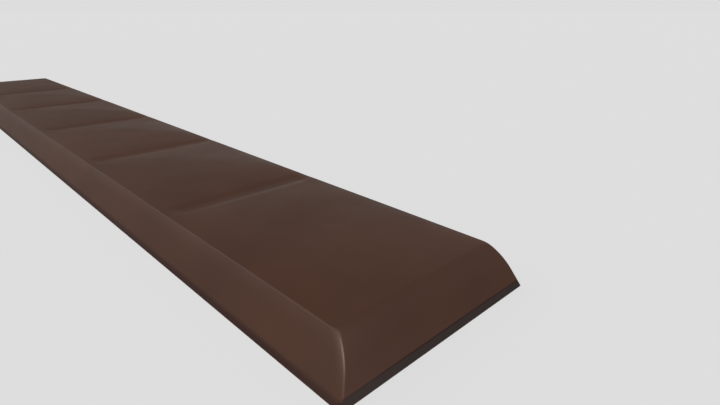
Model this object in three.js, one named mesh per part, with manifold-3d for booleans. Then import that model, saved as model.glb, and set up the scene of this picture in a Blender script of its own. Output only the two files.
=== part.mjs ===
// A moulded chocolate bar in one piece: six low-crowned segments in a row, parted by shallow scores.
// It lies on its flat back. X runs along the bar, Y across it and Z up, with the origin in the middle of
// the back. Lengths are in millimetres.
import * as THREE from 'three';
import { mergeVertices } from 'three/addons/utils/BufferGeometryUtils.js';
import Module from 'manifold-3d';

// Driving dimensions of the bar.
const BAR_WIDTH = 30.3;
const EDGE_HEIGHT = 5.55;
const SEGMENTS = 6;
const SEGMENT_PITCH = 34;
const END_SEGMENT = 39.6;

// The walls lean in so that the bar drops out of its mould, and the top of each end is rounded in two arcs:
// a long shoulder, then a tighter brow that runs level into the top.
const SIDE_DRAFT = THREE.MathUtils.degToRad(25);
const END_DRAFT = THREE.MathUtils.degToRad(22);
const SHOULDER_RADIUS = 7;
const BROW_RADIUS = 2;
const BROW_NORMAL = THREE.MathUtils.degToRad(50);

// Inside a flat rim along both long edges each segment swells to a low crown, with a narrow level gap
// between one crown and the next. The higher a power, the flatter the crown's middle.
const RIM_WIDTH = 0.6;
const CROWN_RISE = 0.45;
const CROWN_GAP = 3.4;
const CROWN_POWER_ALONG = 2.45;
const CROWN_POWER_ACROSS = 3.2;

// Each score is a narrow valley in that gap between wide soft shoulders, and all but runs out at the rim.
const SCORE_WIDTH = 5.2;
const SCORE_DEPTH = 0.245;
const SCORE_RIM_DEPTH = 0.03;
const SCORE_RUN_OUT = 2.4;
const SHOULDER_WIDTH = 12;
const SHOULDER_DEPTH = 0.08;

// How finely the curved faces are divided.
const ARC_STEPS = 6;
const SCORE_STEPS = 10;
const SHOULDER_STEPS = 3;
const CROWN_STEPS = 6;
const CROSS_STEPS = 10;
const RUN_OUT_STEPS = 3;

// The cutting shapes reach this far past the bar.
const OVERSHOOT = 2;

const wasm = await Module();
wasm.setup();

const halfLength = END_SEGMENT + (SEGMENT_PITCH * (SEGMENTS - 2)) / 2;
const halfWidth = BAR_WIDTH / 2;
const edgeHalfWidth = halfWidth - EDGE_HEIGHT * Math.tan(SIDE_DRAFT);
const crownHalfWidth = edgeHalfWidth - RIM_WIDTH;

// The brow's arc ends level at the edge height, the shoulder's arc meets it at the brow's lower end, and
// the drafted wall meets the shoulder's arc where their slopes agree.
const browCentreZ = EDGE_HEIGHT - BROW_RADIUS;
const shoulderCentreZ = browCentreZ - (SHOULDER_RADIUS - BROW_RADIUS) * Math.sin(BROW_NORMAL);
const wallTopZ = shoulderCentreZ + SHOULDER_RADIUS * Math.sin(END_DRAFT);
const wallTopX = halfLength - wallTopZ * Math.tan(END_DRAFT);
const shoulderCentreX = wallTopX - SHOULDER_RADIUS * Math.cos(END_DRAFT);
const browCentreX = shoulderCentreX + (SHOULDER_RADIUS - BROW_RADIUS) * Math.cos(BROW_NORMAL);

// The lines between segments, with the two lines where the brows begin at the ends.
const scoreLines = [];
for (let i = 0; i < SEGMENTS - 1; i += 1) {
  scoreLines.push((i - (SEGMENTS - 2) / 2) * SEGMENT_PITCH);
}
const crownLimit = browCentreX + CROWN_GAP / 2;
const segmentLimits = [-crownLimit, ...scoreLines, crownLimit];

// A closed geometry as a solid that can be cut.
function solidFrom(geometry) {
  const bare = geometry.clone();
  bare.deleteAttribute('normal');
  bare.deleteAttribute('uv');
  const merged = mergeVertices(bare, 1e-4);
  const vertProperties = new Float32Array(merged.attributes.position.array);
  const triVerts = new Uint32Array(merged.index.array);
  return new wasm.Manifold(new wasm.Mesh({ numProp: 3, vertProperties, triVerts }));
}

// A cut solid as a geometry that can be drawn.
function geometryFrom(solid) {
  const mesh = solid.getMesh();
  const geometry = new THREE.BufferGeometry();
  geometry.setAttribute('position', new THREE.BufferAttribute(mesh.vertProperties, 3));
  geometry.setIndex(new THREE.BufferAttribute(mesh.triVerts, 1));
  geometry.computeVertexNormals();
  return geometry;
}

// The bar seen along its length: two drafted walls, carried on past the top.
function lengthwiseBlock() {
  const topZ = EDGE_HEIGHT + OVERSHOOT;
  const topHalfWidth = halfWidth - topZ * Math.tan(SIDE_DRAFT);
  const section = new THREE.Shape();
  section.moveTo(-halfWidth, 0);
  section.lineTo(halfWidth, 0);
  section.lineTo(topHalfWidth, topZ);
  section.lineTo(-topHalfWidth, topZ);
  section.closePath();
  const depth = 2 * (halfLength + OVERSHOOT);
  const geometry = new THREE.ExtrudeGeometry(section, { depth, bevelEnabled: false });
  geometry.translate(0, 0, -depth / 2);
  const alongX = new THREE.Matrix4().makeBasis(
    new THREE.Vector3(0, 1, 0),
    new THREE.Vector3(0, 0, 1),
    new THREE.Vector3(1, 0, 0),
  );
  return solidFrom(geometry.applyMatrix4(alongX));
}

// The bar seen from its side: a drafted wall, shoulder and brow at each end, open above between the brows.
function crosswiseBlock() {
  const topZ = EDGE_HEIGHT + OVERSHOOT;
  const up = Math.PI / 2;
  const section = new THREE.Shape();
  section.moveTo(-halfLength, 0);
  section.lineTo(halfLength, 0);
  section.absarc(shoulderCentreX, shoulderCentreZ, SHOULDER_RADIUS, END_DRAFT, BROW_NORMAL, false);
  section.absarc(browCentreX, browCentreZ, BROW_RADIUS, BROW_NORMAL, up, false);
  section.lineTo(browCentreX, topZ);
  section.lineTo(-browCentreX, topZ);
  section.absarc(-browCentreX, browCentreZ, BROW_RADIUS, up, Math.PI - BROW_NORMAL, false);
  section.absarc(
    -shoulderCentreX,
    shoulderCentreZ,
    SHOULDER_RADIUS,
    Math.PI - BROW_NORMAL,
    Math.PI - END_DRAFT,
    false,
  );
  section.closePath();
  const depth = 2 * (halfWidth + OVERSHOOT);
  const options = { depth, bevelEnabled: false, curveSegments: ARC_STEPS };
  const geometry = new THREE.ExtrudeGeometry(section, options);
  geometry.translate(0, 0, -depth / 2);
  const alongY = new THREE.Matrix4().makeBasis(
    new THREE.Vector3(1, 0, 0),
    new THREE.Vector3(0, 0, 1),
    new THREE.Vector3(0, -1, 0),
  );
  return solidFrom(geometry.applyMatrix4(alongY));
}

// How far a segment's crown stands above the rim: nothing at its four sides, most in its middle.
function crownAt(x, y) {
  const next = segmentLimits.findIndex((limit) => limit > x);
  if (next < 1) return 0;
  const start = segmentLimits[next - 1];
  const end = segmentLimits[next];
  const along = Math.min(1, Math.abs(2 * x - start - end) / (end - start - CROWN_GAP));
  const across = Math.min(1, Math.abs(y) / crownHalfWidth);
  return CROWN_RISE * (1 - along ** CROWN_POWER_ALONG) * (1 - across ** CROWN_POWER_ACROSS);
}

// A round valley one unit deep, with nothing beyond its width.
function valley(offset, width) {
  const climb = Math.min(1, (2 * offset) / width);
  return 1 - climb + Math.sin(2 * Math.PI * climb) / (2 * Math.PI);
}

// How far the scores cut in below the rim's height, less and less towards the rims.
function scoreAt(x, y) {
  const runOut = THREE.MathUtils.smoothstep(crownHalfWidth - Math.abs(y), 0, SCORE_RUN_OUT);
  const depth = THREE.MathUtils.lerp(SCORE_RIM_DEPTH, SCORE_DEPTH, runOut);
  const offset = Math.min(...scoreLines.map((line) => Math.abs(x - line)));
  return depth * valley(offset, SCORE_WIDTH) + SHOULDER_DEPTH * runOut * valley(offset, SHOULDER_WIDTH);
}

// Evenly spaced numbers from start up to, but not including, end.
function stepsBetween(start, end, count) {
  const steps = [];
  for (let i = 0; i < count; i += 1) steps.push(start + ((end - start) * i) / count);
  return steps;
}

// Places along the bar where the top is measured: close together in the scores, wider on the crowns.
function placesAlong() {
  const halfScore = SCORE_WIDTH / 2;
  const halfShoulder = SHOULDER_WIDTH / 2;
  const places = [-halfLength - OVERSHOOT];
  let start = -browCentreX;
  for (const line of scoreLines) {
    places.push(...stepsBetween(start, line - halfShoulder, CROWN_STEPS));
    places.push(...stepsBetween(line - halfShoulder, line - halfScore, SHOULDER_STEPS));
    places.push(...stepsBetween(line - halfScore, line + halfScore, SCORE_STEPS));
    places.push(...stepsBetween(line + halfScore, line + halfShoulder, SHOULDER_STEPS));
    start = line + halfShoulder;
  }
  places.push(...stepsBetween(start, browCentreX, CROWN_STEPS));
  places.push(browCentreX, halfLength + OVERSHOOT);
  return places;
}

// Places across the bar where the top is measured: close together where the scores run out.
function placesAcross() {
  const inner = crownHalfWidth - SCORE_RUN_OUT;
  return [
    -halfWidth - OVERSHOOT,
    ...stepsBetween(-crownHalfWidth, -inner, RUN_OUT_STEPS),
    ...stepsBetween(-inner, inner, CROSS_STEPS),
    ...stepsBetween(inner, crownHalfWidth, RUN_OUT_STEPS),
    crownHalfWidth,
    halfWidth + OVERSHOOT,
  ];
}

// A block whose upper face is the moulded top of the bar, and whose other faces lie outside the bar.
function topBlock() {
  const along = placesAlong();
  const across = placesAcross();
  const geometry = new THREE.BoxGeometry(1, 1, 1, along.length - 1, across.length - 1, 1);
  const vertices = geometry.attributes.position;
  for (let i = 0; i < vertices.count; i += 1) {
    const x = along[Math.round((vertices.getX(i) + 0.5) * (along.length - 1))];
    const y = across[Math.round((vertices.getY(i) + 0.5) * (across.length - 1))];
    const top = EDGE_HEIGHT + crownAt(x, y) - scoreAt(x, y);
    vertices.setXYZ(i, x, y, vertices.getZ(i) > 0 ? top : -OVERSHOOT);
  }
  return solidFrom(geometry);
}

// The bar is what the three blocks have in common.
const bar = new THREE.Mesh(
  geometryFrom(lengthwiseBlock().intersect(crosswiseBlock()).intersect(topBlock())),
  new THREE.MeshStandardMaterial({ color: 0x4e3b34, roughness: 0.45, metalness: 0 }),
);
bar.name = 'chocolate_bar';

const part = new THREE.Group();
part.add(bar);

export default part;
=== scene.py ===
import math
import bmesh
import bpy
from mathutils import Euler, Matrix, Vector


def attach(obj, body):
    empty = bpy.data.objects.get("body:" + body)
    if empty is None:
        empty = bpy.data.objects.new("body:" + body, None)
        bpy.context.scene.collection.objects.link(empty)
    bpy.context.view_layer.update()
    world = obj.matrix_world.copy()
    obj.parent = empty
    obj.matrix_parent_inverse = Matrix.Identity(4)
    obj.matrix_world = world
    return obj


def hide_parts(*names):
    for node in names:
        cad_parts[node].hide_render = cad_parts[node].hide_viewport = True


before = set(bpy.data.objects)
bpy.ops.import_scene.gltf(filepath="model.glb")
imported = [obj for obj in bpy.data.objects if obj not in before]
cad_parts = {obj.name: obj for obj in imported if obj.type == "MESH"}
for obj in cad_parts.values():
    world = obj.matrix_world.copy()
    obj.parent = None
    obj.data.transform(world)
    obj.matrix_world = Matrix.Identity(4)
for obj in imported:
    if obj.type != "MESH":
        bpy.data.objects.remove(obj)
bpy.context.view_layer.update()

# The bar
# One piece of dark milk chocolate. It was poured into a polished mould, shaken level, scraped flat across its
# open back, cooled, and knocked out, so its walls lean in and every outer edge is slightly round.
MM = 0.001
HALF_LENGTH = 107.6
HALF_WIDTH = 15.15
EDGE_HEIGHT = 5.55
SIDE_DRAFT = math.radians(25)
END_DRAFT = math.radians(22)

# The top of each end is rounded in two arcs, a long shoulder and then a tighter brow that runs level.
SHOULDER_RADIUS = 7.0
BROW_RADIUS = 2.0
BROW_NORMAL = math.radians(50)
brow_centre_z = EDGE_HEIGHT - BROW_RADIUS
shoulder_centre_z = brow_centre_z - (SHOULDER_RADIUS - BROW_RADIUS) * math.sin(BROW_NORMAL)
wall_top_z = shoulder_centre_z + SHOULDER_RADIUS * math.sin(END_DRAFT)
wall_top_x = HALF_LENGTH - wall_top_z * math.tan(END_DRAFT)
shoulder_centre_x = wall_top_x - SHOULDER_RADIUS * math.cos(END_DRAFT)
brow_centre_x = shoulder_centre_x + (SHOULDER_RADIUS - BROW_RADIUS) * math.cos(BROW_NORMAL)
brow_start_z = brow_centre_z + BROW_RADIUS * math.sin(BROW_NORMAL)

# The edge round the back is all but sharp, where the scraper passed.
BACK_EDGE_RADIUS = 0.05

# The long top edges turn tightly, and the wall below and the top above lean towards the turn. The section
# through the edge is followed in short steps, then set to start on the wall and end at the top.
EDGE_TURN = 0.15
EDGE_LEAN = 2.0
WALL_LEAN_SHARE = 0.09
TOP_LEAN_SHARE = 0.07
EDGE_STEPS = 400
wall_slope = math.pi / 2 - SIDE_DRAFT


def smooth(t):
    t = min(1.0, max(0.0, t))
    return t * t * (3 - 2 * t)


edge_y, edge_z = [0.0], [0.0]
for i in range(EDGE_STEPS):
    along_edge = EDGE_LEAN * (2 * (i + 0.5) / EDGE_STEPS - 1)
    turned = (1 - WALL_LEAN_SHARE - TOP_LEAN_SHARE) * smooth((along_edge / EDGE_TURN + 1) / 2)
    turned += WALL_LEAN_SHARE * smooth(along_edge / EDGE_LEAN + 1)
    turned += TOP_LEAN_SHARE * smooth(along_edge / EDGE_LEAN)
    slope = wall_slope * (1 - turned)
    edge_y.append(edge_y[-1] - 2 * EDGE_LEAN / EDGE_STEPS * math.cos(slope))
    edge_z.append(edge_z[-1] + 2 * EDGE_LEAN / EDGE_STEPS * math.sin(slope))
edge_start_z = EDGE_HEIGHT - edge_z[-1]
edge_start_y = HALF_WIDTH - edge_start_z * math.tan(SIDE_DRAFT)
edge_y = [edge_start_y + y for y in edge_y]
edge_z = [edge_start_z + z for z in edge_z]

# The rim of the mould left a fine nick across each end, just above the back, that stops short of the corners.
NICK_HEIGHT = 0.95
NICK_WIDTH = 0.2
NICK_DEPTH = 0.05
NICK_RUN_OUT = 1.5


def back_edge(half_size, draft, z):
    centre = half_size - BACK_EDGE_RADIUS * (1 + math.sin(draft)) / math.cos(draft)
    return centre + math.sqrt(max(0.0, BACK_EDGE_RADIUS**2 - (z - BACK_EDGE_RADIUS) ** 2))


def side_half(z):
    if z < BACK_EDGE_RADIUS * (1 + math.sin(SIDE_DRAFT)):
        return back_edge(HALF_WIDTH, SIDE_DRAFT, z)
    if z < edge_start_z:
        return HALF_WIDTH - z * math.tan(SIDE_DRAFT)
    above = next((i for i, height in enumerate(edge_z) if height >= z), EDGE_STEPS)
    step = max(1, above)
    share = (z - edge_z[step - 1]) / (edge_z[step] - edge_z[step - 1])
    return edge_y[step - 1] + (edge_y[step] - edge_y[step - 1]) * min(1.0, share)


def end_half(z):
    if z < BACK_EDGE_RADIUS * (1 + math.sin(END_DRAFT)):
        return back_edge(HALF_LENGTH, END_DRAFT, z)
    if z < wall_top_z:
        return HALF_LENGTH - z * math.tan(END_DRAFT)
    if z < brow_start_z:
        return shoulder_centre_x + math.sqrt(SHOULDER_RADIUS**2 - (z - shoulder_centre_z) ** 2)
    return brow_centre_x + math.sqrt(max(0.0, BROW_RADIUS**2 - (z - brow_centre_z) ** 2))


def nick_at(z):
    return NICK_DEPTH * max(0.0, 1 - abs(z - NICK_HEIGHT) / (NICK_WIDTH / 2))


def spaced(start, end, count):
    return [start + (end - start) * i / count for i in range(count)]


# Heights at which the wall is measured: round the edge of the back, at the nick, up the shoulder of the end,
# and along the top edge, where they crowd towards the turn. Of two that all but meet, the upper one is kept.
BACK_EDGE_STEPS = 5
WALL_HEIGHTS = [0.4, 1.6]
NICK_PLACES = [-1.0, -0.5, -0.25, 0.0, 0.25, 0.5, 1.0]
SHOULDER_STEPS = 9
TURN_REACH = 0.3
TURN_STEPS = 12
BELOW_TURN = [-1.2, -0.7, -0.45]
ABOVE_TURN = [0.45, 0.7, 1.0, 1.4]
LEAST_RISE = 0.002
heights = [BACK_EDGE_RADIUS * (1 + math.sin(a)) for a in spaced(-math.pi / 2, SIDE_DRAFT, BACK_EDGE_STEPS)]
heights += [BACK_EDGE_RADIUS * (1 + math.sin(SIDE_DRAFT))] + WALL_HEIGHTS
heights += [NICK_HEIGHT + NICK_WIDTH * place for place in NICK_PLACES]
shoulder_angles = spaced(END_DRAFT, BROW_NORMAL, SHOULDER_STEPS)
heights += [shoulder_centre_z + SHOULDER_RADIUS * math.sin(a) for a in shoulder_angles]
edge_places = BELOW_TURN + spaced(-TURN_REACH, TURN_REACH, TURN_STEPS) + [TURN_REACH] + ABOVE_TURN
heights += [edge_z[round(EDGE_STEPS * (0.5 + place / (2 * EDGE_LEAN)))] for place in edge_places]
heights = sorted(heights) + [EDGE_HEIGHT]
heights = [z for z, above in zip(heights, heights[1:]) if above - z > LEAST_RISE] + [EDGE_HEIGHT]

# Six segments stand in a row. Each swells to a low crown, and a shallow score with soft shoulders parts it
# from the next. The scores run out before they reach the long edges.
SEGMENTS = 6
SEGMENT_PITCH = 34.0
SCORE_LINES = [SEGMENT_PITCH * (i - SEGMENTS / 2) for i in range(1, SEGMENTS)]
SCORE_WIDTH = 5.2
SCORE_DEPTH = 0.245
SCORE_RIM_DEPTH = 0.03
SCORE_MARGIN = 0.6
SCORE_RUN_OUT = 2.4
SHOULDER_WIDTH = 12.0
SHOULDER_DEPTH = 0.08
SEGMENT_GAP = 3.4
CROWN_RISE = 0.45
CROWN_POWER_ALONG = 2.45
CROWN_POWER_ACROSS = 3.2
segment_limits = [-brow_centre_x - SEGMENT_GAP / 2] + SCORE_LINES + [brow_centre_x + SEGMENT_GAP / 2]
rim_y = HALF_WIDTH - EDGE_HEIGHT * math.tan(SIDE_DRAFT)


def valley(offset, width):
    climb = min(1.0, 2 * offset / width)
    return 1 - climb + math.sin(2 * math.pi * climb) / (2 * math.pi)


def crown_at(x, y):
    for start, end in zip(segment_limits, segment_limits[1:]):
        if start <= x < end:
            along = min(1.0, abs(2 * x - start - end) / (end - start - SEGMENT_GAP))
            across = min(1.0, abs(y) / rim_y)
            return CROWN_RISE * (1 - along**CROWN_POWER_ALONG) * (1 - across**CROWN_POWER_ACROSS)
    return 0.0


def score_at(x, y):
    offset = min(abs(x - line) for line in SCORE_LINES)
    run_out = smooth((rim_y - SCORE_MARGIN - abs(y)) / SCORE_RUN_OUT)
    depth = SCORE_RIM_DEPTH + (SCORE_DEPTH - SCORE_RIM_DEPTH) * run_out
    return depth * valley(offset, SCORE_WIDTH) + SHOULDER_DEPTH * run_out * valley(offset, SHOULDER_WIDTH)


# The corners between walls lean in gently from the long wall, then turn tightly onto the end wall, and their
# places crowd towards that turn. The two lists say how far each place lies inside the corner that flat walls
# would make.
CORNER_LENGTH = 1.3
CORNER_TURN = 0.32
CORNER_LEAN_SHARE = 0.33
CORNER_TURN_POWER = 2
CORNER_STEPS = 20
CORNER_CROWDING = 0.6
corner_x, corner_y = [0.0], [0.0]
for i in range(CORNER_STEPS):
    start = (i / CORNER_STEPS) ** CORNER_CROWDING * CORNER_LENGTH
    stop = ((i + 1) / CORNER_STEPS) ** CORNER_CROWDING * CORNER_LENGTH
    along_corner = (start + stop) / 2
    turned = CORNER_LEAN_SHARE * smooth(along_corner / CORNER_LENGTH)
    tight = max(0.0, 1 - (CORNER_LENGTH - along_corner) / CORNER_TURN)
    turned += (1 - CORNER_LEAN_SHARE) * tight**CORNER_TURN_POWER
    corner_x.append(corner_x[-1] + (stop - start) * math.cos(math.pi / 2 * turned))
    corner_y.append(corner_y[-1] + (stop - start) * math.sin(math.pi / 2 * turned))
corner_x = [corner_x[-1] - x for x in corner_x]
corner_along = corner_x[0]
corner_across = corner_y[-1]

# Places along and across the bar at which its top is measured, close together in the scores and near the long
# edges, with a few more in the near end segment, which is seen from close by.
CROWN_STEPS = 18
SCORE_REACH = 3.0
SCORE_STEPS = 30
NEAR_END_STEPS = 24
RIM_REACH = 1.2
RIM_STEPS = 10
MIDDLE_STEPS = 18
last_x = brow_centre_x - corner_along
last_y = edge_y[-1] - corner_across
stations_x = []
station = -last_x
for line in SCORE_LINES:
    stations_x += spaced(station, line - SCORE_REACH, CROWN_STEPS)
    stations_x += spaced(line - SCORE_REACH, line + SCORE_REACH, SCORE_STEPS)
    station = line + SCORE_REACH
stations_x += spaced(station, last_x, NEAR_END_STEPS) + [last_x]
inner_y = last_y - RIM_REACH
stations_y = spaced(-last_y, -inner_y, RIM_STEPS) + spaced(-inner_y, inner_y, MIDDLE_STEPS)
stations_y += spaced(inner_y, last_y, RIM_STEPS) + [last_y]


# The places of one upright corner, in order round the bar.
def corner(sign_x, sign_y, half_x, half_y):
    points = []
    for x, y in zip(corner_x[1:-1], corner_y[1:-1]):
        points.append((sign_x * (half_x - x), sign_y * (half_y - y)))
    return points if sign_x * sign_y < 0 else points[::-1]


# The closed line round the bar at one height, wall by wall and corner by corner.
def outline(half_x, half_y, nick):
    flat_y = half_y - corner_across
    xs = [-(half_x - corner_along)] + stations_x[1:-1] + [half_x - corner_along]
    ys = [-flat_y] + stations_y[1:-1] + [flat_y]
    end = [(half_x - nick * smooth((flat_y - abs(y)) / NICK_RUN_OUT), y) for y in ys]
    points = [(x, -half_y) for x in xs] + corner(1, -1, half_x, half_y)
    points += end + corner(1, 1, half_x, half_y)
    points += [(x, half_y) for x in reversed(xs)] + corner(-1, 1, half_x, half_y)
    points += [(-x, y) for x, y in reversed(end)] + corner(-1, -1, half_x, half_y)
    return points


# The walls are one ring of places above the other. The rise and fall of the crowns and scores at their rims
# fades out a little way down the walls.
RELIEF_FADE = 0.5
mesh = bmesh.new()
rings = []
for z in heights:
    lift = smooth((z - EDGE_HEIGHT) / RELIEF_FADE + 1)
    ring = []
    for x, y in outline(end_half(z), side_half(z), nick_at(z)):
        relief = crown_at(x, y) - score_at(x, y)
        ring.append(mesh.verts.new((x * MM, y * MM, (z + lift * relief) * MM)))
    rings.append(ring)
for low, high in zip(rings, rings[1:]):
    for i in range(len(low)):
        j = (i + 1) % len(low)
        mesh.faces.new((low[i], low[j], high[j], high[i]))


# A face inside a ring is a grid of places, with a fan of triangles from the ring to the grid at each corner.
def close_face(ring, height_at, facing_up):
    grid = [[mesh.verts.new((x * MM, y * MM, height_at(x, y) * MM)) for y in stations_y] for x in stations_x]
    skip = CORNER_STEPS - 1
    inner = [row[0] for row in grid] + [grid[-1][0]] * skip
    inner += grid[-1] + [grid[-1][-1]] * skip
    inner += [row[-1] for row in reversed(grid)] + [grid[0][-1]] * skip
    inner += grid[0][::-1] + [grid[0][0]] * skip
    faces = []
    for i in range(len(ring)):
        j = (i + 1) % len(ring)
        corners = [ring[i], ring[j], inner[j]]
        if inner[i] != inner[j]:
            corners.append(inner[i])
        faces.append(corners)
    for near, far in zip(grid, grid[1:]):
        for i in range(len(stations_y) - 1):
            faces.append([near[i], far[i], far[i + 1], near[i + 1]])
    for corners in faces:
        mesh.faces.new(corners if facing_up else corners[::-1])


def top_height(x, y):
    return EDGE_HEIGHT + crown_at(x, y) - score_at(x, y)


# The scraped back dishes in slightly, as chocolate shrinks when it sets.
BACK_DISH = 0.05
DISH_POWER_ALONG = 4
DISH_POWER_ACROSS = 2


def back_height(x, y):
    along = 1 - (x / HALF_LENGTH) ** DISH_POWER_ALONG
    across = 1 - (y / HALF_WIDTH) ** DISH_POWER_ACROSS
    return BACK_DISH * along * across


close_face(rings[-1], top_height, True)
close_face(rings[0], back_height, False)
for face in mesh.faces:
    face.smooth = True
bar_mesh = bpy.data.meshes.new("moulded_bar")
mesh.to_mesh(bar_mesh)
mesh.free()
bar = bpy.data.objects.new("moulded_bar", bar_mesh)
bpy.context.scene.collection.objects.link(bar)


def linear(hex_colour):
    channels = [int(hex_colour[i:i + 2], 16) / 255 for i in (0, 2, 4)]
    return [c / 12.92 if c <= 0.04045 else ((c + 0.055) / 1.055) ** 2.4 for c in channels] + [1.0]


def add(tree, kind, settings=None, inputs=None):
    made = tree.nodes.new(kind)
    for name, value in (settings or {}).items():
        setattr(made, name, value)
    for name, value in (inputs or {}).items():
        if isinstance(value, bpy.types.NodeSocket):
            tree.links.new(value, made.inputs[name])
        else:
            made.inputs[name].default_value = value
    return made


# Milk chocolate that set against a polished mould. It gives the eye a satin brown skin whose tone and gloss
# drift a little over a centimetre or so, because the cocoa butter in it doesn't set evenly.
CHOCOLATE_IOR = 1.45
CHOCOLATE_DARK = "502e1a"
CHOCOLATE_LIGHT = "58341f"
TONE_SIZE = 11.0
TONE_OCTAVES = 3.0
TONE_FINENESS = 0.45
TONE_SPREAD = (0.32, 0.68)
chocolate = bpy.data.materials.new("moulded_chocolate")
chocolate.use_nodes = True
tree = chocolate.node_tree
tree.nodes.clear()
coordinates = add(tree, "ShaderNodeTexCoord")
place = coordinates.outputs["Object"]
where = add(tree, "ShaderNodeSeparateXYZ", inputs={"Vector": place})
tone = add(
    tree,
    "ShaderNodeTexNoise",
    inputs={
        "Vector": place,
        "Scale": 1 / (TONE_SIZE * MM),
        "Detail": TONE_OCTAVES,
        "Roughness": TONE_FINENESS,
    },
)
toned = add(
    tree,
    "ShaderNodeMapRange",
    inputs={"Value": tone.outputs["Fac"], "From Min": TONE_SPREAD[0], "From Max": TONE_SPREAD[1]},
)
browns = add(
    tree,
    "ShaderNodeMix",
    {"data_type": "RGBA"},
    {"Factor": toned.outputs[0], "A": linear(CHOCOLATE_DARK), "B": linear(CHOCOLATE_LIGHT)},
)

# Round the foot the base colour is painted darker. This is painted shade, standing for the shade low on the
# walls next to the table. On the long walls the band fades out upwards. On the end walls it is greyer and
# stops at the nick, in a thin brown line. How far a place faces along the bar tells one kind of wall from the
# other.
FOOT_SHADE_ON_SIDES = "39180a"
FOOT_SHADE_ON_ENDS = "342722"
FOOT_FADE = (0.45, 1.1)
FOOT_LINE = (0.92, 1.0)
FOOT_GREYER = (0.76, 0.88)
END_FACING = (0.5, 0.6)
facing = add(tree, "ShaderNodeSeparateXYZ", inputs={"Vector": coordinates.outputs["Normal"]})
endways = add(tree, "ShaderNodeMath", {"operation": "ABSOLUTE"}, {0: facing.outputs["X"]})
on_end = add(
    tree,
    "ShaderNodeMapRange",
    inputs={"Value": endways.outputs[0], "From Min": END_FACING[0], "From Max": END_FACING[1]},
)
above_foot_on_sides = add(
    tree,
    "ShaderNodeMapRange",
    {"interpolation_type": "SMOOTHSTEP"},
    {"Value": where.outputs["Z"], "From Min": FOOT_FADE[0] * MM, "From Max": FOOT_FADE[1] * MM},
)
above_foot_on_ends = add(
    tree,
    "ShaderNodeMapRange",
    inputs={"Value": where.outputs["Z"], "From Min": FOOT_LINE[0] * MM, "From Max": FOOT_LINE[1] * MM},
)
above_foot = add(
    tree,
    "ShaderNodeMix",
    inputs={
        "Factor": on_end.outputs[0],
        "A": above_foot_on_sides.outputs[0],
        "B": above_foot_on_ends.outputs[0],
    },
)
low_on_end = add(
    tree,
    "ShaderNodeMapRange",
    inputs={
        "Value": where.outputs["Z"],
        "From Min": FOOT_GREYER[0] * MM,
        "From Max": FOOT_GREYER[1] * MM,
        "To Min": on_end.outputs[0],
        "To Max": 0.0,
    },
)
# Painted shade of the foot: dark brown low on the long walls, grey-brown low on the end walls.
foot_shade = add(
    tree,
    "ShaderNodeMix",
    {"data_type": "RGBA"},
    {"Factor": low_on_end.outputs[0], "A": linear(FOOT_SHADE_ON_SIDES), "B": linear(FOOT_SHADE_ON_ENDS)},
)
# The chocolate's own tone above the foot, the painted shade of the foot below it.
wall_colour_and_foot_shade = add(
    tree,
    "ShaderNodeMix",
    {"data_type": "RGBA"},
    {"Factor": above_foot.outputs[0], "A": foot_shade.outputs["Result"], "B": browns.outputs["Result"]},
)

# The scraped back is paler, as its skin is broken.
BACK_BROWN = "5f412f"
BACK_HEIGHT = (0.06, 0.1)
back = add(
    tree,
    "ShaderNodeMapRange",
    inputs={
        "Value": where.outputs["Z"],
        "From Min": BACK_HEIGHT[0] * MM,
        "From Max": BACK_HEIGHT[1] * MM,
        "To Min": 1.0,
        "To Max": 0.0,
    },
)
colour = add(
    tree,
    "ShaderNodeMix",
    {"data_type": "RGBA"},
    {"Factor": back.outputs[0], "A": wall_colour_and_foot_shade.outputs["Result"], "B": linear(BACK_BROWN)},
)

# The gloss of the moulded skin drifts between satin and a little duller.
GLOSS_SIZE = 7.0
GLOSS_OCTAVES = 4.0
GLOSS_FINENESS = 0.55
GLOSS_SPREAD = (0.3, 0.7)
SMOOTHEST = 0.46
DULLEST = 0.54
gloss = add(
    tree,
    "ShaderNodeTexNoise",
    inputs={
        "Vector": place,
        "Scale": 1 / (GLOSS_SIZE * MM),
        "Detail": GLOSS_OCTAVES,
        "Roughness": GLOSS_FINENESS,
    },
)
satin = add(
    tree,
    "ShaderNodeMapRange",
    inputs={
        "Value": gloss.outputs["Fac"],
        "From Min": GLOSS_SPREAD[0],
        "From Max": GLOSS_SPREAD[1],
        "To Min": SMOOTHEST,
        "To Max": DULLEST,
    },
)

# Past a slanting line each inner segment came cleaner off the mould, and the smoother skin shines more there.
# Along the segment the shine is full on a narrow lip just past the score, falls off at once and comes back
# over a centimetre. The end segments lie outside it.
CLEAN_GAIN = 0.08
CLEAN_SLANT = 0.8
CLEAN_MIDDLE = 3.0
CLEAN_FADE = (-1.0, 4.5)
CLEAN_ALONG = [(0.4, 0.0), (1.5, 1.0), (2.1, 1.0), (3.1, 0.4), (12.0, 1.0)]
CLEAN_END = (69.8, 71.6)
segments = add(
    tree,
    "ShaderNodeMath",
    {"operation": "MULTIPLY"},
    {0: where.outputs["X"], 1: 1 / (SEGMENT_PITCH * MM)},
)
in_segment = add(tree, "ShaderNodeMath", {"operation": "FRACT"}, {0: segments.outputs[0]})
slanting_line = add(
    tree,
    "ShaderNodeMath",
    {"operation": "MULTIPLY_ADD"},
    {
        0: in_segment.outputs[0],
        1: CLEAN_SLANT * SEGMENT_PITCH * MM,
        2: (CLEAN_MIDDLE - CLEAN_SLANT * SEGMENT_PITCH / 2) * MM,
    },
)
past_line = add(
    tree,
    "ShaderNodeMath",
    {"operation": "SUBTRACT"},
    {0: where.outputs["Y"], 1: slanting_line.outputs[0]},
)
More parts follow.
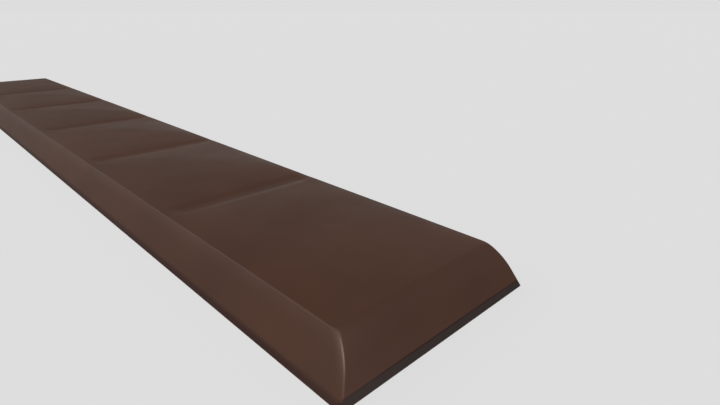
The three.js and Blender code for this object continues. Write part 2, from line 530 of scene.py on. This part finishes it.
cleaner = add(
    tree,
    "ShaderNodeMapRange",
    {"interpolation_type": "SMOOTHSTEP"},
    {
        "Value": past_line.outputs[0],
        "From Min": CLEAN_FADE[0] * MM,
        "From Max": CLEAN_FADE[1] * MM,
        "To Max": -CLEAN_GAIN,
    },
)
past_score = add(tree, "ShaderNodeValToRGB", inputs={"Fac": in_segment.outputs[0]})
stops = past_score.color_ramp.elements
while len(stops) < len(CLEAN_ALONG):
    stops.new(0.5)
for stop, (distance, share) in zip(stops, CLEAN_ALONG):
    stop.position = distance / SEGMENT_PITCH
    stop.color = (share, share, share, 1.0)
from_middle = add(tree, "ShaderNodeMath", {"operation": "ABSOLUTE"}, {0: where.outputs["X"]})
inner = add(
    tree,
    "ShaderNodeMapRange",
    {"interpolation_type": "SMOOTHSTEP"},
    {
        "Value": from_middle.outputs[0],
        "From Min": CLEAN_END[0] * MM,
        "From Max": CLEAN_END[1] * MM,
        "To Min": 1.0,
        "To Max": 0.0,
    },
)
clean_share = add(
    tree,
    "ShaderNodeMath",
    {"operation": "MULTIPLY"},
    {0: past_score.outputs["Color"], 1: inner.outputs[0]},
)
skin_roughness = add(
    tree,
    "ShaderNodeMath",
    {"operation": "MULTIPLY_ADD"},
    {0: cleaner.outputs[0], 1: clean_share.outputs[0], 2: satin.outputs[0]},
)

# The foot is duller than the skin above it, and rubbed duller still at the upright corners, which face partly
# along the bar. The scraped back is dull all over.
FOOT_ROUGHNESS = 0.6
RUBBED_ROUGHNESS = 0.9
RUBBED_FROM = (0.08, 0.25)
RUBBED_TO = (0.75, 0.85)
BACK_ROUGHNESS = 0.66
rubbed = add(
    tree,
    "ShaderNodeMapRange",
    inputs={
        "Value": endways.outputs[0],
        "From Min": RUBBED_FROM[0],
        "From Max": RUBBED_FROM[1],
        "To Min": FOOT_ROUGHNESS,
        "To Max": RUBBED_ROUGHNESS,
    },
)
foot_roughness = add(
    tree,
    "ShaderNodeMapRange",
    inputs={
        "Value": endways.outputs[0],
        "From Min": RUBBED_TO[0],
        "From Max": RUBBED_TO[1],
        "To Min": rubbed.outputs[0],
        "To Max": FOOT_ROUGHNESS,
    },
)
wall_roughness = add(
    tree,
    "ShaderNodeMix",
    inputs={
        "Factor": above_foot.outputs[0],
        "A": foot_roughness.outputs[0],
        "B": skin_roughness.outputs[0],
    },
)
roughness = add(
    tree,
    "ShaderNodeMix",
    inputs={"Factor": back.outputs[0], "A": wall_roughness.outputs[0], "B": BACK_ROUGHNESS},
)

# The mould's polish leaves a fine orange peel, drawn coarser than the real tenth of a millimetre so that it
# shows, and the skin sinks in slow waves of a few thousandths of a millimetre as it cools.
PEEL_SIZE = 0.45
PEEL_OCTAVES = 2.0
PEEL_DEPTH = 0.0012
WAVE_SIZE = 5.0
WAVE_OCTAVES = 1.0
WAVE_DEPTH = 0.012
waves = add(
    tree,
    "ShaderNodeTexNoise",
    inputs={"Vector": place, "Scale": 1 / (WAVE_SIZE * MM), "Detail": WAVE_OCTAVES},
)
waved = add(
    tree,
    "ShaderNodeBump",
    inputs={"Height": waves.outputs["Fac"], "Strength": 1.0, "Distance": WAVE_DEPTH * MM},
)
peel = add(
    tree,
    "ShaderNodeTexNoise",
    inputs={"Vector": place, "Scale": 1 / (PEEL_SIZE * MM), "Detail": PEEL_OCTAVES},
)
peeled = add(
    tree,
    "ShaderNodeBump",
    inputs={
        "Height": peel.outputs["Fac"],
        "Strength": 1.0,
        "Distance": PEEL_DEPTH * MM,
        "Normal": waved.outputs["Normal"],
    },
)

# The scraper leaves streaks along the back, and opens small pinholes where air was caught.
STREAK_SIZE = 0.7
STREAK_OCTAVES = 3.0
STREAK_STRETCH = 0.02
STREAK_DEPTH = 0.02
PINHOLE_SPACING = 6.0
PINHOLE_RADIUS = 0.42
PINHOLE_DEPTH = 0.15
drawn_out = add(
    tree,
    "ShaderNodeMapping",
    inputs={"Vector": place, "Scale": (STREAK_STRETCH, 1.0, 1.0)},
)
streaks = add(
    tree,
    "ShaderNodeTexNoise",
    inputs={
        "Vector": drawn_out.outputs["Vector"],
        "Scale": 1 / (STREAK_SIZE * MM),
        "Detail": STREAK_OCTAVES,
    },
)
holes = add(
    tree,
    "ShaderNodeTexVoronoi",
    inputs={"Vector": place, "Scale": 1 / (PINHOLE_SPACING * MM), "Randomness": 1.0},
)
hollow = add(
    tree,
    "ShaderNodeMapRange",
    {"interpolation_type": "SMOOTHSTEP"},
    {
        "Value": holes.outputs["Distance"],
        "From Max": PINHOLE_RADIUS / PINHOLE_SPACING,
        "To Min": -PINHOLE_DEPTH / STREAK_DEPTH,
        "To Max": 0.0,
    },
)
scraped = add(tree, "ShaderNodeMath", inputs={0: streaks.outputs["Fac"], 1: hollow.outputs[0]})
relief_of_skin = add(
    tree,
    "ShaderNodeBump",
    inputs={
        "Height": scraped.outputs[0],
        "Strength": back.outputs[0],
        "Distance": STREAK_DEPTH * MM,
        "Normal": peeled.outputs["Normal"],
    },
)

surface = add(
    tree,
    "ShaderNodeBsdfPrincipled",
    inputs={
        "Base Color": colour.outputs["Result"],
        "Roughness": roughness.outputs[0],
        "IOR": CHOCOLATE_IOR,
        "Normal": relief_of_skin.outputs["Normal"],
    },
)
add(tree, "ShaderNodeOutputMaterial", inputs={"Surface": surface.outputs["BSDF"]})
bar_mesh.materials.append(chocolate)

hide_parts("chocolate_bar")
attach(bar, "root")

# The table
# A plain sheet of pale matt paper that lies flat and reaches the horizon behind the bar. Like a light table
# it glows evenly from below, which keeps the bar's shadow on it faint.
TABLE_RADIUS = 4.0
TABLE_SIDES = 96
PAPER_GREY = 0.12
PAPER_GLOW = 0.657
table_mesh = bpy.data.meshes.new("table")
sheet = bmesh.new()
bmesh.ops.create_circle(sheet, cap_ends=True, radius=TABLE_RADIUS, segments=TABLE_SIDES)
sheet.to_mesh(table_mesh)
sheet.free()
table = bpy.data.objects.new("table", table_mesh)
bpy.context.scene.collection.objects.link(table)
paper = bpy.data.materials.new("pale_matt_paper")
paper.use_nodes = True
paper_tree = paper.node_tree
paper_tree.nodes.clear()
reflected = add(
    paper_tree,
    "ShaderNodeBsdfDiffuse",
    inputs={"Color": (PAPER_GREY, PAPER_GREY, PAPER_GREY, 1.0)},
)
lit_through = add(paper_tree, "ShaderNodeEmission", inputs={"Color": (1, 1, 1, 1), "Strength": PAPER_GLOW})
both = add(paper_tree, "ShaderNodeAddShader", inputs={0: reflected.outputs[0], 1: lit_through.outputs[0]})
add(paper_tree, "ShaderNodeOutputMaterial", inputs={"Surface": both.outputs[0]})
table_mesh.materials.append(paper)

# The light
# A dim grey studio with large soft lights hung round the bar. The bar's gloss doesn't show the table itself,
# but a plain sheen below the horizon, brightest on the near right.
table.visible_glossy = False
ROOM_LIGHT = 0.238
TABLE_SHEEN = 0.0726
HORIZON_BLUR = 0.05
BACKDROP_GREY = "dddddd"
world = bpy.data.worlds.new("studio")
bpy.context.scene.world = world
world.use_nodes = True
studio = world.node_tree
studio.nodes.clear()
ray = add(studio, "ShaderNodeLightPath")
direction = add(studio, "ShaderNodeTexCoord").outputs["Generated"]
height = add(studio, "ShaderNodeSeparateXYZ", inputs={"Vector": direction}).outputs["Z"]


def towards(azimuth, elevation):
    level = math.cos(elevation)
    return Vector((level * math.cos(azimuth), level * math.sin(azimuth), math.sin(elevation)))


# A light starts where the cosine of the angle from its centre reaches the rim, and is full a fade above it.
def soft_light(light_so_far, azimuth, elevation, rim, fade, strength):
    centre = towards(math.radians(azimuth), math.radians(elevation))
    nearness = add(studio, "ShaderNodeVectorMath", {"operation": "DOT_PRODUCT"}, {0: direction, 1: centre})
    glow = add(
        studio,
        "ShaderNodeMapRange",
        {"interpolation_type": "SMOOTHSTEP"},
        {"Value": nearness.outputs["Value"], "From Min": rim, "From Max": rim + fade, "To Max": strength},
    )
    return add(studio, "ShaderNodeMath", inputs={0: glow.outputs[0], 1: light_so_far}).outputs[0]


# One wide light over the near end, one smaller and brighter past the far end, and a low glow behind the bar.
light = soft_light(ROOM_LIGHT, azimuth=3.0, elevation=52.5, rim=0.298, fade=0.919, strength=0.588)
light = soft_light(light, azimuth=223.1, elevation=35.8, rim=0.836, fade=0.150, strength=1.76)
light = soft_light(light, azimuth=122.6, elevation=-35.0, rim=0.491, fade=0.254, strength=0.407)
table_light = soft_light(TABLE_SHEEN, azimuth=317.2, elevation=0.0, rim=-0.121, fade=0.398, strength=0.583)
above_horizon = add(
    studio,
    "ShaderNodeMapRange",
    inputs={"Value": height, "From Min": -HORIZON_BLUR, "From Max": HORIZON_BLUR},
)
seen_light = add(
    studio,
    "ShaderNodeMix",
    inputs={"Factor": above_horizon.outputs[0], "A": table_light, "B": light},
)
room = add(studio, "ShaderNodeBackground", inputs={"Color": (1, 1, 1, 1), "Strength": seen_light.outputs[0]})
backdrop = add(studio, "ShaderNodeBackground", inputs={"Color": linear(BACKDROP_GREY), "Strength": 1.0})
chosen = add(
    studio,
    "ShaderNodeMixShader",
    inputs={0: ray.outputs["Is Camera Ray"], 1: room.outputs[0], 2: backdrop.outputs[0]},
)
add(studio, "ShaderNodeOutputWorld", inputs={"Surface": chosen.outputs[0]})

# A small snooted lamp on the near right is aimed at the nearest upright corner. Its warm light shows only in
# the gloss, as a glint down the turn.
GLINT_AZIMUTH = math.radians(311)
GLINT_ELEVATION = math.radians(46)
GLINT_DISTANCE = 0.5
GLINT_AIM = (105.4, -13.5, 3.6)
GLINT_WATTS = 20.5
GLINT_COLOUR = (1.0, 0.68, 0.58)
GLINT_CONE = math.radians(1.1)
GLINT_CONE_FADE = 0.8
GLINT_LAMP_RADIUS = 0.004
lamp = bpy.data.objects.new("glint_lamp", bpy.data.lights.new("glint_lamp", "SPOT"))
bpy.context.scene.collection.objects.link(lamp)
lamp.rotation_euler = Euler((math.pi / 2 - GLINT_ELEVATION, 0, GLINT_AZIMUTH + math.pi / 2))
lamp.location = Vector(GLINT_AIM) * MM + GLINT_DISTANCE * towards(GLINT_AZIMUTH, GLINT_ELEVATION)
lamp.data.energy = GLINT_WATTS
lamp.data.color = GLINT_COLOUR
lamp.data.spot_size = GLINT_CONE
lamp.data.spot_blend = GLINT_CONE_FADE
lamp.data.shadow_soft_size = GLINT_LAMP_RADIUS
lamp.visible_diffuse = False

# The camera
# It stands a few centimetres from the nearest corner, low over the table, and looks down along the bar with a
# wide lens.
CAMERA_PLACE = Vector((131.759, -36.016, 32.120)) * MM
CAMERA_DIP = math.radians(21.717)
CAMERA_TURN = math.radians(46.221)
SENSOR_WIDTH = 36.0
LENS = 24.444
NEAREST = 0.001
FARTHEST = 20.0
camera = bpy.data.objects.new("camera", bpy.data.cameras.new("camera"))
bpy.context.scene.collection.objects.link(camera)
camera.location = CAMERA_PLACE
camera.rotation_euler = Euler((math.pi / 2 - CAMERA_DIP, 0, CAMERA_TURN))
camera.data.sensor_width = SENSOR_WIDTH
camera.data.lens = LENS
camera.data.clip_start = NEAREST
camera.data.clip_end = FARTHEST
bpy.context.scene.camera = camera
bpy.context.scene.view_settings.view_transform = "Standard"
